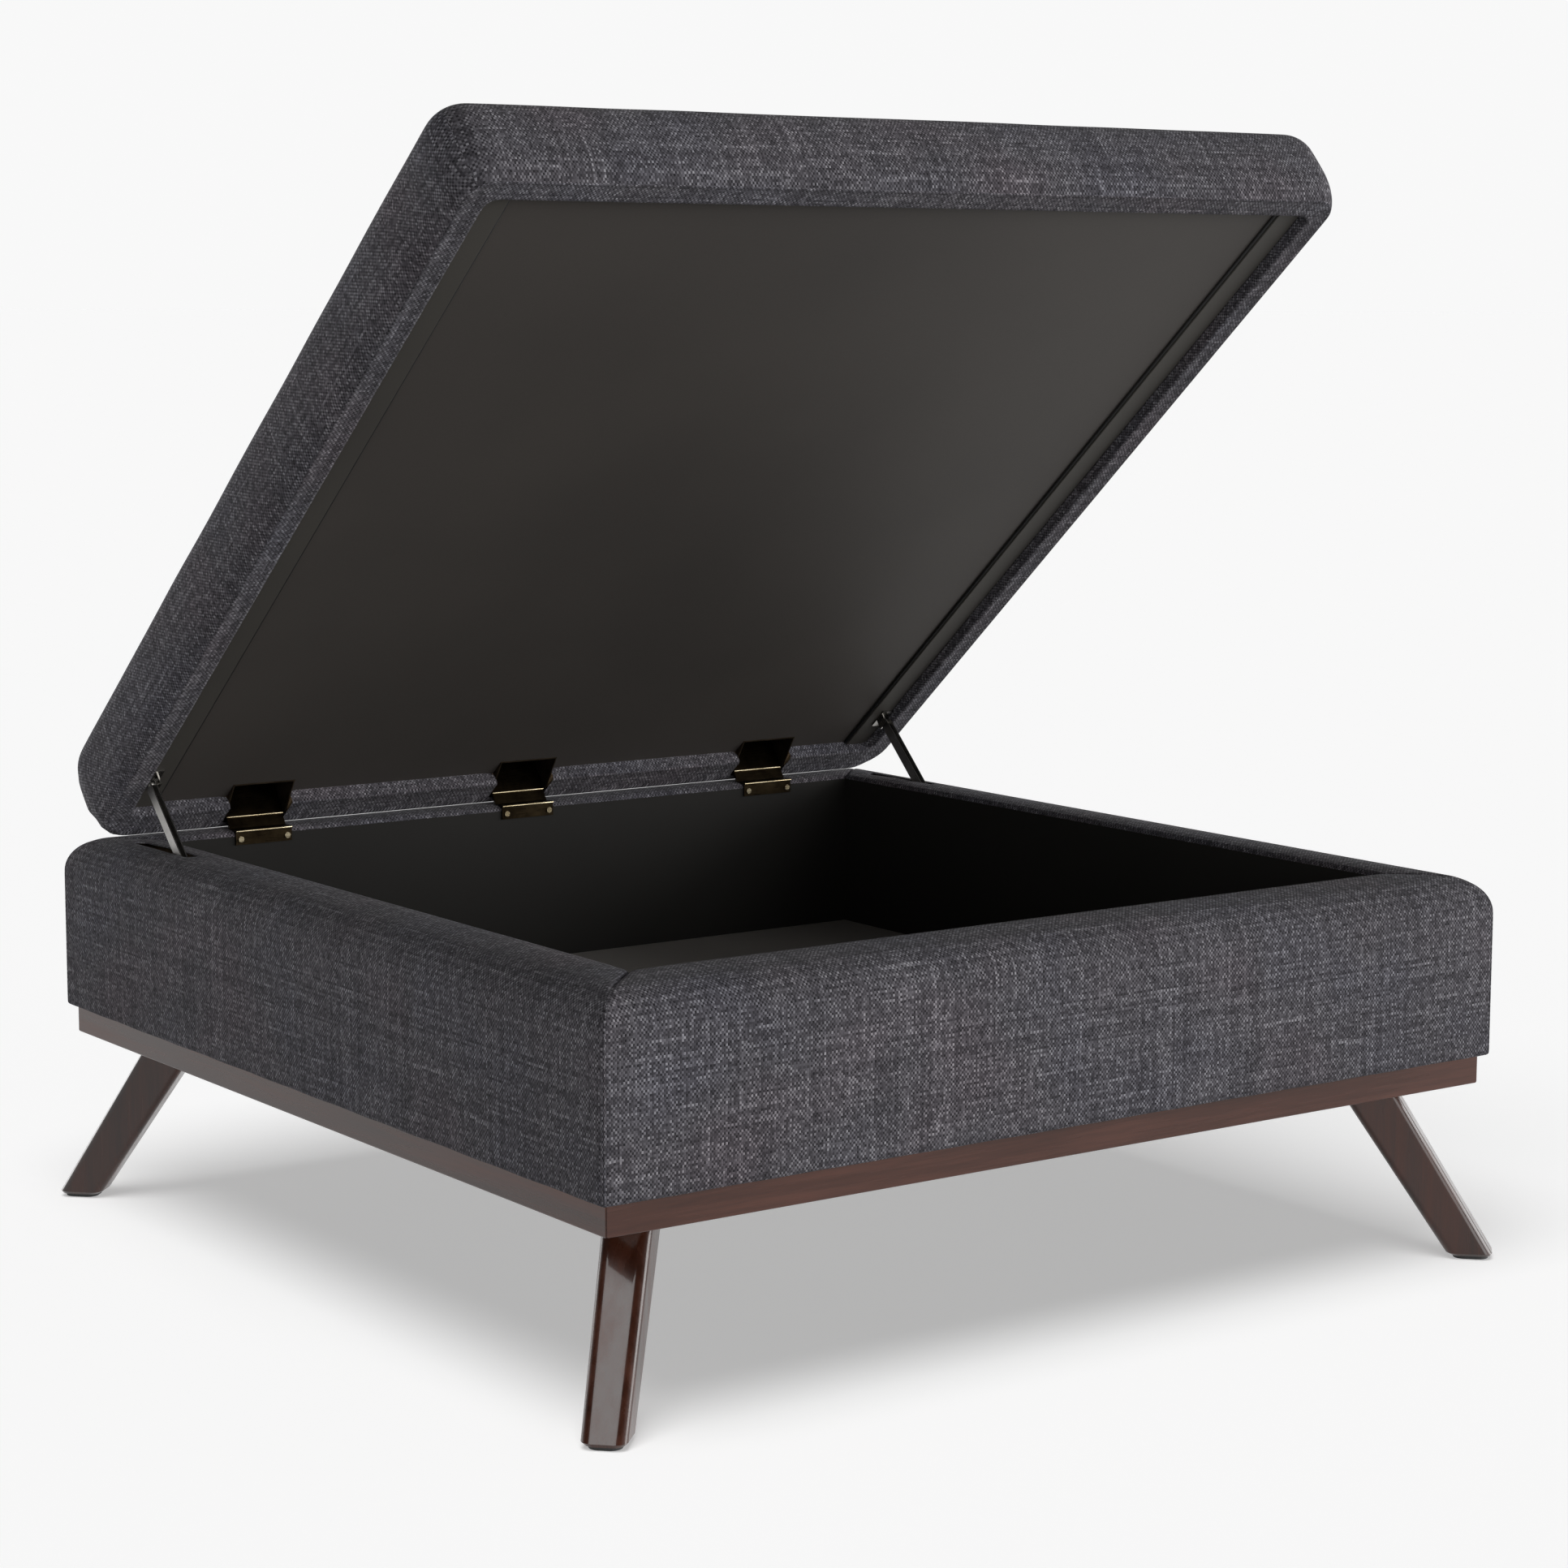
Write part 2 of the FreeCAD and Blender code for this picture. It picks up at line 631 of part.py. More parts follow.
def stay_bar(side):
    """A channel bar open to the front, with a rounded upper end and a slot for the guide pin."""
    pivot = swung_pivot(side)
    over = X_AXIS * (STAY_HALF + 1)
    body = bar_prism(side, (0, STAY_END), (STAY_BACK, STAY_FRONT), STAY_HALF)
    end = rod(pivot - X_AXIS * STAY_HALF, pivot + X_AXIS * STAY_HALF, STAY_FRONT)
    inside_half = STAY_HALF - STAY_WALL
    channel = bar_prism(side, (-FAR, FAR), (STAY_BACK + STAY_WALL, FAR), inside_half)
    hole = rod(pivot - over, pivot + over, STAY_PIN_R + PIN_CLEARANCE)
    play = GUIDE_R + GUIDE_END_PLAY
    slot_half = GUIDE_R + GUIDE_SIDE_PLAY + GUIDE_SLACK
    slot = bar_prism(
        side,
        (STAY_LEAST_REACH - play, STAY_TO_GUIDE + play),
        (-GUIDE_SIDE_PLAY - slot_half, -GUIDE_SIDE_PLAY + slot_half),
        STAY_HALF + 1,
    )
    web = bar_prism(side, (-FAR, FAR), (STAY_BACK, STAY_BACK + STAY_WALL), inside_half)
    solid = body.fuse(end).cut(channel).cut(hole)
    return solid.cut(slot.cut(web)).removeSplitter()


def stay_guide(side):
    """The fixed pin that a stay slides on, held between the two boards of the side wall."""
    a = stay_directions()[0]
    pivot = swung_pivot(side)
    spot = pivot + a * STAY_TO_GUIDE
    inner_x = HALF - INNER_BOARD_U
    outer_x = HALF - OUTER_BOARD_U - BOARD
    ends = [Vector(side * x, spot.y, spot.z) for x in (inner_x, outer_x)]
    step = X_AXIS * (side * FLANGE)
    pin = rod(ends[0], ends[1], GUIDE_R)
    return pin.fuse([rod(ends[0], ends[0] + step, FLANGE_R), rod(ends[1] - step, ends[1], FLANGE_R)])


# ---------------------------------------------------------------- write every node
def main():
    os.makedirs("parts", exist_ok=True)
    for name, turn in CORNERS.items():
        export("leg_" + name, leg(turn))
    export("foot_glides", group(at_corners(glide())))
    export("leg_plates", group(at_corners(leg_plate())))
    export("leg_bolts", group(at_corners(leg_bolt())))
    export("leg_plate_screws", group([at_corner(s, t) for t in CORNERS.values() for s in plate_screws()]))
    export("corner_blocks", group(at_corners(corner_block())))
    export("floor_slats", group(slats()))
    export("underside_cloth", underside_cloth())
    export("floor_board", floor_board())
    export("floor_liner", floor_liner())
    export("wall_liner", group([wall_liner(side) for side in SIDES]))
    for side in SIDES:
        export("plinth_rail_" + side, plinth_rail(side))
        export("outer_board_" + side, outer_board(side))
        export("inner_board_" + side, inner_board(side))
        export("rim_board_" + side, rim_board(side))
        export("wall_foam_" + side, wall_foam(side))
        export("base_cover_" + side, base_cover(side))
        export("lid_rail_" + side, swing_open(lid_rail(side)))
    for name, x in zip(HINGE_NAMES, HINGE_X):
        export("hinge_arm_" + name, hinge_arm(x))
        export("hinge_cup_" + name, swing_open(hinge_cup(x)))
    export("hinge_pins", group([hinge_pin(x) for x in HINGE_X]))
    export("hinge_leaf_screws", group(leaf_screw_solids()))
    export("hinge_cup_screws", swing_open(group(cup_screws())))
    export("lid_deck", swing_open(lid_deck()))
    export("lid_foam", swing_open(lid_foam()))
    export("lid_cover", swing_open(lid_cover()))
    export("lid_panel", swing_open(lid_panel()))
    export("lid_strips", swing_open(group([lid_strip(side) for side in (-1, 1)])))
    export("stay_brackets", swing_open(group([stay_bracket(side) for side in (-1, 1)])))
    export("stay_guides", group([stay_guide(side) for side in (-1, 1)]))
    export("stay_bar_left", stay_bar(-1))
    export("stay_bar_right", stay_bar(1))
    report_motion()


def report_motion():
    """Print the joint places and the stay's travel for the record."""
    open_pivot = swung_pivot(1)
    closed_pivot = stay_pivot(1)
    guide = open_pivot + stay_directions()[0] * STAY_TO_GUIDE
    to_guide = guide - closed_pivot
    closed_slope = degrees(atan2(-to_guide.z, -to_guide.y))
    print("lid axis", AXIS.y, AXIS.z)
    print("stay pivot, lid open", open_pivot.y, open_pivot.z)
    print("closed reach of the stay", to_guide.Length)
    print("turn of the stay in the lid", LID_ANGLE + STAY_SLOPE - closed_slope)


main()
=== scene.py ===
import json
import math

import bmesh
import bpy
import numpy as np
from mathutils import Matrix, Vector, noise


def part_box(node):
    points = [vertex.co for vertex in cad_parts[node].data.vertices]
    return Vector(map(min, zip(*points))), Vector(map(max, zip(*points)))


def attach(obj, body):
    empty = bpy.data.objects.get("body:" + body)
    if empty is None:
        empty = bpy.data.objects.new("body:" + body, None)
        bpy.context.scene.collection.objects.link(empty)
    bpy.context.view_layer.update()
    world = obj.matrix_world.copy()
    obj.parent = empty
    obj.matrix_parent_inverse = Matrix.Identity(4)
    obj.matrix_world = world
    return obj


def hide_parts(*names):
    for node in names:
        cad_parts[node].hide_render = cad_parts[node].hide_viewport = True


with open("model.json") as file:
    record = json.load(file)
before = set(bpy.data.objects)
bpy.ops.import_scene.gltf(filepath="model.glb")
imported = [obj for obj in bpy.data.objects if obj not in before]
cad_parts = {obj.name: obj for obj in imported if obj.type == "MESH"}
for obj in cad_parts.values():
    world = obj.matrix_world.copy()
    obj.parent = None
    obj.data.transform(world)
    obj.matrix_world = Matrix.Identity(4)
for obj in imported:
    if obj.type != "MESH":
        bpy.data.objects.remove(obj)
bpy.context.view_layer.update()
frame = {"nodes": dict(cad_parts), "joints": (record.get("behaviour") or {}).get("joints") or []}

# ------------------------------------------------------------------ places from the frame, and sizes
MM = 0.001
TINY = 1e-6                              # slack for comparing places
HAIR = 1e-9                              # and for telling the two sides of a corner apart
front_low, front_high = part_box("base_cover_front")
HALF = front_high.x                      # half the width of the ottoman
WALL = front_high.y - front_low.y        # thickness of the padded walls
RIM_Z = front_high.z
SKIRT_Z = front_low.z                    # lower edge of the fabric, on the plinth
TURN_IN = 4 * MM                         # the cover goes this far down inside the well
RIM_ROUND = 32 * MM                      # radius from the outer face over to the rim

lid_joint = next(j for j in frame["joints"] if j["name"] == "lid_hinge")
AXIS = Vector(lid_joint["pos_m"])
OPEN_ANGLE = math.radians(-lid_joint["range_deg"][0])
TO_OPEN = Matrix.Translation(AXIS) @ Matrix.Rotation(-OPEN_ANGLE, 4, "X") @ Matrix.Translation(-AXIS)
TO_CLOSED = TO_OPEN.inverted()


def closed_box(node):
    """The corners of a lid node as it is with the lid closed."""
    points = np.array([TO_CLOSED @ v.co for v in frame["nodes"][node].data.vertices])
    return Vector(points.min(0)), Vector(points.max(0))


lid_low, lid_high = closed_box("lid_cover")
LID_Z = lid_low.z
LID_THICK = lid_high.z - lid_low.z
LID_CORNER = 34 * MM                     # radius of the lid's corners, seen from above
LID_TOP_ROUND = 30 * MM
CREASE_IN = 10 * MM                      # the crease under the lid's edge stands this far in
SWELL_REACH = 20 * MM                    # the side swells out over the crease along an ellipse
SWELL_Z = 36 * MM                        # where it is widest, over the lid's underside
SWELL_TURN = math.radians(60)
panel_low, panel_high = closed_box("lid_panel")
RECESS = panel_low.z - LID_Z
BORDER = 31.6 * MM                       # width of the fabric round the recess
STRIP_WIDTH = 26 * MM
STRIP_GAP = 1.5 * MM                     # between a strip and the side of the recess
HINGES = ("left", "centre", "right")
BEAD_R = 1.15 * MM                       # bright rods across the hinges, which paint their edge highlights
LEAF_BEAD = (386.3 * MM, 336.7 * MM)     # (y, z) of the bead along the leaf's bend
ARM_BEAD = (404.8 * MM, 347.8 * MM)      # and of the bead across the arm
STAY_FRONT = 3.6 * MM                    # the stay's lips stand this far off its pivot's centre
STAY_LENGTH = 127 * MM
STAY_SLOPE = math.radians(45)            # slope of the stays with the lid open
LIP_R = 0.6 * MM
SHADOW_LINE_R = 1.3 * MM                      # radius of the black rods that paint the shadow line beside the strips
SIDES = {"front": 0, "right": 90, "rear": 180, "left": 270}  # degrees from the front, about Z


# ------------------------------------------------------------------ mesh helpers
def new_object(name, mesh):
    piece = bpy.data.objects.new(name, mesh)
    bpy.context.scene.collection.objects.link(piece)
    return piece


def grid_faces(rows, columns, loop=False, keep=None):
    """Quads of a grid of points, row by row. keep(row, column) may leave some out."""
    faces = []
    for i in range(rows - 1):
        for j in range(columns if loop else columns - 1):
            if keep is None or keep(i, j):
                k = (j + 1) % columns
                here = i * columns
                above = here + columns
                faces.append((here + j, here + k, above + k, above + j))
    return faces


def smooth_mesh(name, points, faces, weave=None):
    """A smooth-shaded mesh. weave gives each point its place on the cloth, in metres."""
    mesh = bpy.data.meshes.new(name)
    mesh.from_pydata([tuple(p) for p in points], [], faces)
    mesh.polygons.foreach_set("use_smooth", [True] * len(mesh.polygons))
    if weave is not None:
        layer = mesh.uv_layers.new(name="weave")
        corners = np.zeros(len(mesh.loops), np.int32)
        mesh.loops.foreach_get("vertex_index", corners)
        layer.data.foreach_set("uv", np.asarray(weave, np.float32)[corners].ravel())
    mesh.validate()
    mesh.update()
    return mesh


def arc(centre, radius, start, end, steps):
    """Points of an arc in a profile plane, angles in degrees, both ends included."""
    angles = np.radians(np.linspace(start, end, steps + 1))
    return [(centre[0] + radius * math.cos(a), centre[1] + radius * math.sin(a)) for a in angles]


def line(start, end, steps):
    """Points between two profile points, both ends left out."""
    return [tuple(np.array(start) + (np.array(end) - start) * i / steps) for i in range(1, steps)]


def lengths_along(profile):
    steps = np.hypot(*np.diff(np.array(profile), axis=0).T)
    return np.concatenate([[0], np.cumsum(steps)])


def wave(place, size, seed):
    """Gentle unevenness of hand-stretched cloth, from -1 to 1."""
    return noise.noise(Vector(place) / size + Vector((seed, 7 * seed, 0)))


def add_modifier(piece, kind, **settings):
    modifier = piece.modifiers.new(kind.lower(), kind)
    for key, value in settings.items():
        setattr(modifier, key, value)
    return modifier


# ------------------------------------------------------------------ materials
class Graph:
    """A material's node tree, with short calls for the nodes used here."""

    def __init__(self, name):
        self.material = bpy.data.materials.new(name)
        self.material.use_nodes = True
        self.tree = self.material.node_tree
        self.shader = self.tree.nodes["Principled BSDF"]

    def node(self, kind, inputs=(), **settings):
        made = self.tree.nodes.new(kind)
        for key, value in settings.items():
            setattr(made, key, value)
        for key, value in dict(inputs).items():
            self.put(value, made.inputs[key])
        return made

    def put(self, value, socket):
        if isinstance(value, bpy.types.NodeSocket):
            self.tree.links.new(value, socket)
        else:
            socket.default_value = value

    def math(self, operation, a, b=0.0, c=0.0):
        return self.node("ShaderNodeMath", {0: a, 1: b, 2: c}, operation=operation).outputs[0]

    def mix(self, share, a, b, blend="MIX"):
        made = self.node("ShaderNodeMix", data_type="RGBA", blend_type=blend)
        self.put(share, made.inputs[0])
        self.put(a, made.inputs[6])
        self.put(b, made.inputs[7])
        return made.outputs[2]

    def vector(self, x, y, z=0.0):
        return self.node("ShaderNodeCombineXYZ", {0: x, 1: y, 2: z}).outputs[0]

    def parts(self, vector):
        return self.node("ShaderNodeSeparateXYZ", {0: vector}).outputs

    def place(self):
        return self.node("ShaderNodeTexCoord").outputs["Object"]

    def weave_place(self):
        return self.node("ShaderNodeUVMap", uv_map="weave").outputs[0]

    def scaled(self, vector, scale):
        return self.node("ShaderNodeVectorMath", {0: vector, 1: scale}, operation="MULTIPLY").outputs[0]

    def noise(self, vector, scale, detail=2.0, rough=0.5):
        inputs = {"Vector": vector, "Scale": scale, "Detail": detail, "Roughness": rough}
        return self.node("ShaderNodeTexNoise", inputs).outputs[0]

    def dice(self, vector):
        """A random number for each whole-number place."""
        return self.node("ShaderNodeTexWhiteNoise", {"Vector": vector}, noise_dimensions="3D").outputs[0]

    def ramp(self, value, stops):
        made = self.node("ShaderNodeValToRGB", {0: value})
        elements = made.color_ramp.elements
        while len(elements) < len(stops):
            elements.new(0.5)
        for element, (position, colour) in zip(elements, stops):
            element.position = position
            element.color = (*colour, 1.0) if len(colour) == 3 else colour
        return made.outputs[0]

    def step(self, value, low, high):
        inputs = {"Value": value, "From Min": low, "From Max": high}
        return self.node("ShaderNodeMapRange", inputs).outputs[0]

    def bump(self, height, strength, distance):
        inputs = {"Height": height, "Strength": strength, "Distance": distance}
        self.put(self.node("ShaderNodeBump", inputs).outputs[0], self.shader.inputs["Normal"])

    def set(self, **values):
        for key, value in values.items():
            self.put(value, self.shader.inputs[key.replace("_", " ")])
        return self.material


WARP = 1.75 * MM                         # from one thread to the next
WEFT = 1.95 * MM
THREAD_SWAY = 1.6 * MM                   # how far threads wander sideways
SLUB_LENGTH = 17                         # threads that a slub runs over
SLUB_FROM = 0.92                         # the share of runs without a slub
WEAVE_SHARE = 0.30                       # how much each thing adds to the yarn's tone
FLECK_SHARE = 0.40
THREAD_SHARE = 0.13
SLUB_SHARE = 0.16
CLOUD_SHARE = 0.09


def thread_slubs(g, thread, along, seed):
    """1 where this thread has a thick pale slub: a short run, one thread wide."""
    shift = g.math("MULTIPLY", g.dice(g.vector(thread, seed, 0.5)), SLUB_LENGTH)
    run = g.math("FLOOR", g.math("DIVIDE", g.math("ADD", along, shift), SLUB_LENGTH))
    return g.step(g.dice(g.vector(thread, run, seed)), SLUB_FROM, 1.0)


def tweed():
    """Plain weave of dark warp and paler weft in uneven yarns, with slubs both ways."""
    g = Graph("tweed")
    sway = g.math("MULTIPLY", g.math("SUBTRACT", g.noise(g.weave_place(), 60.0, 1.0), 0.5), THREAD_SWAY)
    u, v, _ = g.parts(g.weave_place())
    across = g.math("DIVIDE", g.math("ADD", u, sway), WARP)
    along = g.math("DIVIDE", g.math("ADD", v, sway), WEFT)
    warp = g.math("FLOOR", across)
    weft = g.math("FLOOR", along)
    weft_over = g.math("MODULO", g.math("ABSOLUTE", g.math("ADD", warp, weft)), 2.0)
    fleck = g.dice(g.vector(warp, weft, 3.0))
    warp_tone = g.dice(g.vector(warp, 0.0, 5.0))
    weft_tone = g.dice(g.vector(0.0, weft, 7.0))
    slub = g.math("MAXIMUM", thread_slubs(g, warp, along, 11.0), thread_slubs(g, weft, across, 13.0))
    tone = g.math("ADD", g.math("MULTIPLY", weft_over, WEAVE_SHARE), g.math("MULTIPLY", fleck, FLECK_SHARE))
    tone = g.math("ADD", tone, g.math("MULTIPLY", g.math("ADD", warp_tone, weft_tone), THREAD_SHARE))
    tone = g.math("ADD", tone, g.math("MULTIPLY", slub, SLUB_SHARE))
    cloud = g.noise(g.weave_place(), 14.0, 3.0)
    tone = g.math("ADD", tone, g.math("MULTIPLY", g.math("SUBTRACT", cloud, 0.5), CLOUD_SHARE))
    yarn = g.ramp(tone, [
        (0.05, (0.019, 0.018, 0.021)), (0.40, (0.062, 0.058, 0.066)),
        (0.68, (0.160, 0.153, 0.170)), (0.98, (0.41, 0.40, 0.43)),
    ])
    cast = g.ramp(g.noise(g.weave_place(), 7.0, 2.0), [
        (0.3, (0.97, 0.99, 1.04)), (0.5, (1.0, 1.0, 1.0)), (0.7, (1.05, 0.98, 0.99)),
    ])
    colour = g.mix(1.0, yarn, cast, "MULTIPLY")
    warp_round = g.math("ABSOLUTE", g.math("SINE", g.math("MULTIPLY", across, math.pi)))
    weft_round = g.math("ABSOLUTE", g.math("SINE", g.math("MULTIPLY", along, math.pi)))
    height = g.math("ADD", g.math("MULTIPLY", warp_round, weft_round), g.math("MULTIPLY", fleck, 0.4))
    g.bump(g.math("ADD", height, slub), 0.5, 0.35 * MM)
    return g.set(Base_Color=colour, Roughness=0.94, Specular_IOR_Level=0.2,
                 Sheen_Weight=0.05, Sheen_Roughness=0.5)


def lining(name, dark, light):
    """Smooth lining with a fine even texture, dark on the walls; the floor's pale copy paints the light on
    the well's floor.
    """
    g = Graph(name)
    fine = g.noise(g.place(), 900.0, 2.0)
    cloud = g.noise(g.place(), 4.0, 3.0)
    shade = g.math("ADD", g.math("MULTIPLY", fine, 0.25), g.math("MULTIPLY", cloud, 0.75))
    colour = g.ramp(shade, [(0.3, dark), (0.7, light)])
    g.bump(fine, 0.25, 0.2 * MM)
    return g.set(Base_Color=colour, Roughness=0.78, Specular_IOR_Level=0.3)


def dust_cloth(name, dark, light):
    """Black bonded cloth: short fibres pressed flat."""
    g = Graph(name)
    fibres = g.noise(g.scaled(g.place(), (700.0, 700.0, 700.0)), 1.0, 3.0, 0.7)
    cloud = g.noise(g.place(), 3.0, 3.0)
    shade = g.math("ADD", g.math("MULTIPLY", fibres, 0.35), g.math("MULTIPLY", cloud, 0.65))
    colour = g.ramp(shade, [(0.3, dark), (0.7, light)])
    g.bump(fibres, 0.2, 0.15 * MM)
    return g.set(Base_Color=colour, Roughness=0.62, Specular_IOR_Level=0.4)


ACROSS_GRAIN = 60.0                      # how fine the wood's grain is, across it and along it
ALONG_GRAIN = 3.0


def espresso(name, grain_along, depth, coat):
    """Stained wood under lacquer. The grain runs along one axis, and depth scales its colour."""
    g = Graph(name)
    stretch = [ACROSS_GRAIN] * 3
    stretch[grain_along] = ALONG_GRAIN
    finer = 12
    rings = g.noise(g.scaled(g.place(), tuple(stretch)), 1.0, 5.0, 0.6)
    pores = g.noise(g.scaled(g.place(), tuple(finer * s for s in stretch)), 1.0, 2.0, 0.5)
    shade = g.math("ADD", g.math("MULTIPLY", rings, 0.8), g.math("MULTIPLY", pores, 0.2))
    colour = g.ramp(shade, [
        (0.25, (0.022, 0.0065, 0.003)), (0.50, (0.055, 0.016, 0.008)), (0.80, (0.105, 0.031, 0.016)),
    ])
    colour = g.mix(1.0, colour, g.vector(depth, depth, depth), "MULTIPLY")
    rough = g.step(rings, 0.1, 1.6)
    g.bump(pores, 0.06, 0.2 * MM)
    return g.set(Base_Color=colour, Roughness=rough, Specular_IOR_Level=0.3,
                 Coat_Weight=coat, Coat_Roughness=0.08)


def plywood():
    """Pale wood of the boards and frames that the covers hide."""
    g = Graph("plywood")
    grain = g.noise(g.scaled(g.place(), (40.0, 4.0, 90.0)), 1.0, 5.0, 0.6)
    colour = g.ramp(grain, [(0.3, (0.36, 0.24, 0.13)), (0.7, (0.60, 0.44, 0.27))])
    g.bump(grain, 0.2, 0.3 * MM)
    return g.set(Base_Color=colour, Roughness=0.7)


def metal(name, dark, light, roughness):
    """Plated steel with fine brushing and handling marks. The brushing spreads the roughness both ways."""
    g = Graph(name)
    spread = 0.18
    brush = g.noise(g.scaled(g.place(), (60.0, 900.0, 900.0)), 1.0, 2.0)
    marks = g.noise(g.place(), 45.0, 4.0, 0.65)
    colour = g.ramp(marks, [(0.35, dark), (0.7, light)])
    rough = g.math("ADD", g.math("MULTIPLY", brush, spread), roughness - spread / 2)
    g.bump(brush, 0.08, 0.1 * MM)
    return g.set(Base_Color=colour, Metallic=1.0, Roughness=rough)


def glide_plastic():
    """Black moulded plastic with a fine speckle."""
    g = Graph("glide")
    speckle = g.noise(g.place(), 800.0, 2.0)
    colour = g.ramp(speckle, [(0.3, (0.02, 0.02, 0.02)), (0.7, (0.045, 0.045, 0.045))])
    g.bump(speckle, 0.2, 0.2 * MM)
    return g.set(Base_Color=colour, Roughness=0.6)


TWEED = tweed()
WALL_LINING = lining("wall_lining", (0.013, 0.012, 0.0105), (0.019, 0.0175, 0.0155))
# a far paler copy of the wall lining: its colour paints the light that falls on the well's floor
LIT_FLOOR_LINING = lining("floor_lining_painted_light", (0.245, 0.230, 0.216), (0.345, 0.325, 0.306))
DUST_CLOTH = dust_cloth("dust_cloth", (0.052, 0.046, 0.042), (0.076, 0.067, 0.060))
STRIP_CLOTH = dust_cloth("edge_strip", (0.052, 0.048, 0.043), (0.075, 0.069, 0.060))
WOOD_X = espresso("espresso_along_x", 0, 1.3, 0.25)
WOOD_Y = espresso("espresso_along_y", 1, 1.3, 0.25)
WOOD_Z = espresso("espresso_upright", 2, 1.0, 0.55)
PLYWOOD = plywood()
BRONZE = metal("bronzed_steel", (0.016, 0.011, 0.006), (0.045, 0.032, 0.017), 0.30)
# bright enough to paint the edge highlights on the hinge beads; also the colour of the leaf screws
BRIGHT_BRONZE = metal("screw_bronze_and_highlights", (0.55, 0.44, 0.26), (0.80, 0.70, 0.48), 0.25)
STAY_STEEL = metal("stay_steel", (0.30, 0.29, 0.28), (0.46, 0.45, 0.43), 0.38)
CUP_BRONZE = metal("cup_bronze", (0.075, 0.056, 0.038), (0.15, 0.115, 0.08), 0.50)
# near-black cloth that paints the shade on the sides of the lid's recess and the shadow line beside each
# strip
SHADOW_TAPE = dust_cloth("painted_shadow_tape", (0.006, 0.006, 0.006), (0.012, 0.012, 0.012))
ZINC = metal("zinc_steel", (0.30, 0.29, 0.27), (0.48, 0.47, 0.45), 0.24)
GLIDE = glide_plastic()


def paint(piece, material):
    piece.data.materials.clear()
    piece.data.materials.append(material)


# ------------------------------------------------------------------ padded walls of the base
SLIT = (274 * MM, 382 * MM)              # where the stays pass through the rims, along y
SLIT_DEPTHS = (36.7 * MM, 45.3 * MM)     # and how far in from the outer face
SLIT_MIDDLE = 41 * MM
BRACKET_Y = 372 * MM                     # where the stay brackets of the closed lid come down
BRACKET_ROOM = 24 * MM
BRACKET_FLAT = 0.8
SEAM_DIP = 1.5 * MM                      # the corner seams draw the cloth in
SEAM_WIDTH = 3 * MM
SEAM_FADE = 30 * MM                      # swells and unevenness fade out this near a seam
BULGE_FADE = 50 * MM
FACE_BULGE = 1.0 * MM
RIM_SWELL = 1.7 * MM
WALL_UNEVEN = 0.7 * MM
RIM_UNEVEN = 0.12 * MM
HEM_PULL = 0.5 * MM                      # small puckers over the staples along the lower edge
HEM_PUCKER = 13 * MM
HEM_FADE = 12 * MM
CLOTH = 1.4 * MM                         # thickness


def wall_profile():
    """(depth, height) over the cloth of one wall: skirt, outer face, soft rim, turn-in."""
    tuck = 3 * MM
    inner = 4 * MM
    points = [(6 * MM, SKIRT_Z + 0.4 * MM)]
    points += arc((tuck, SKIRT_Z + tuck), tuck, 270, 180, 4)
    points += line((0, SKIRT_Z + tuck), (0, RIM_Z - RIM_ROUND), 14)
    points += arc((RIM_ROUND, RIM_Z - RIM_ROUND), RIM_ROUND, 180, 90, 12)
    points += [(depth, RIM_Z) for depth in (*SLIT_DEPTHS, 52 * MM, 59 * MM)]
    points += arc((WALL - inner, RIM_Z - inner), inner, 90, 0, 4)
    points += [(WALL, RIM_Z - inner - TURN_IN)]
    return points


def run_positions():
    """Fractions along a wall from mitre to mitre, close together at the seams and slit ends."""
    reach = HALF - SLIT_MIDDLE
    fine = [1.0, 0.9985, 0.997, 0.995, 0.992, 0.988, 0.983]
    coarse = list(np.linspace(0, 0.975, 56))
    half = sorted(fine + coarse + [y / reach for y in SLIT])
    return np.array([-x for x in reversed(half[1:])] + half)


def held_down(y):
    """How much of the rim's swell is taken off at this y, to make room for the stay brackets."""
    return BRACKET_FLAT * math.exp(-(((y - BRACKET_Y) / BRACKET_ROOM) ** 2))


def cloth_point(side, x, depth, height, towards_rear):
    """A point of a wall's cloth, moved by bulge, seam dip, puckers and unevenness, as on the front wall."""
    from_seam = HALF - depth - abs(x)
    near_seam = min(1, from_seam / SEAM_FADE)
    level = min(max((height - SKIRT_Z) / (RIM_Z - SKIRT_Z), 0), 1)
    outer = max(0.0, 1 - depth / RIM_ROUND)
    away = 1 - math.exp(-from_seam / BULGE_FADE)
    bulge = FACE_BULGE * math.sin(math.pi * level) ** 0.7 * outer * away
    dip = SEAM_DIP * math.exp(-((from_seam / SEAM_WIDTH) ** 2))
    uneven = WALL_UNEVEN * wave((x, depth, height), 0.11, 3 + SIDES[side] / 90)
    pull = HEM_PULL * math.sin(x / HEM_PUCKER) * math.exp(-(height - SKIRT_Z) / HEM_FADE)
    push = (bulge - dip + (uneven + pull) * near_seam) * outer
    sink = (dip + RIM_UNEVEN * (1 + wave((x, depth, height), 0.09, 11))) * (1 - outer)
    over_rim = min(max((depth - RIM_ROUND) / (WALL - RIM_ROUND), 0), 1)
    swell = RIM_SWELL * math.sin(math.pi * over_rim) * near_seam * (1 - held_down(towards_rear * x))
    return x, -HALF + depth - push, height - sink + swell


def slit_steps(runs, towards_rear):
    """The steps along a side wall that lie over the stay's slit."""
    if not towards_rear:
        return []
    ends = sorted(towards_rear * y / (HALF - SLIT_MIDDLE) for y in SLIT)
    return [i for i, f in enumerate(runs[:-1]) if ends[0] - TINY <= f < ends[1] - TINY]


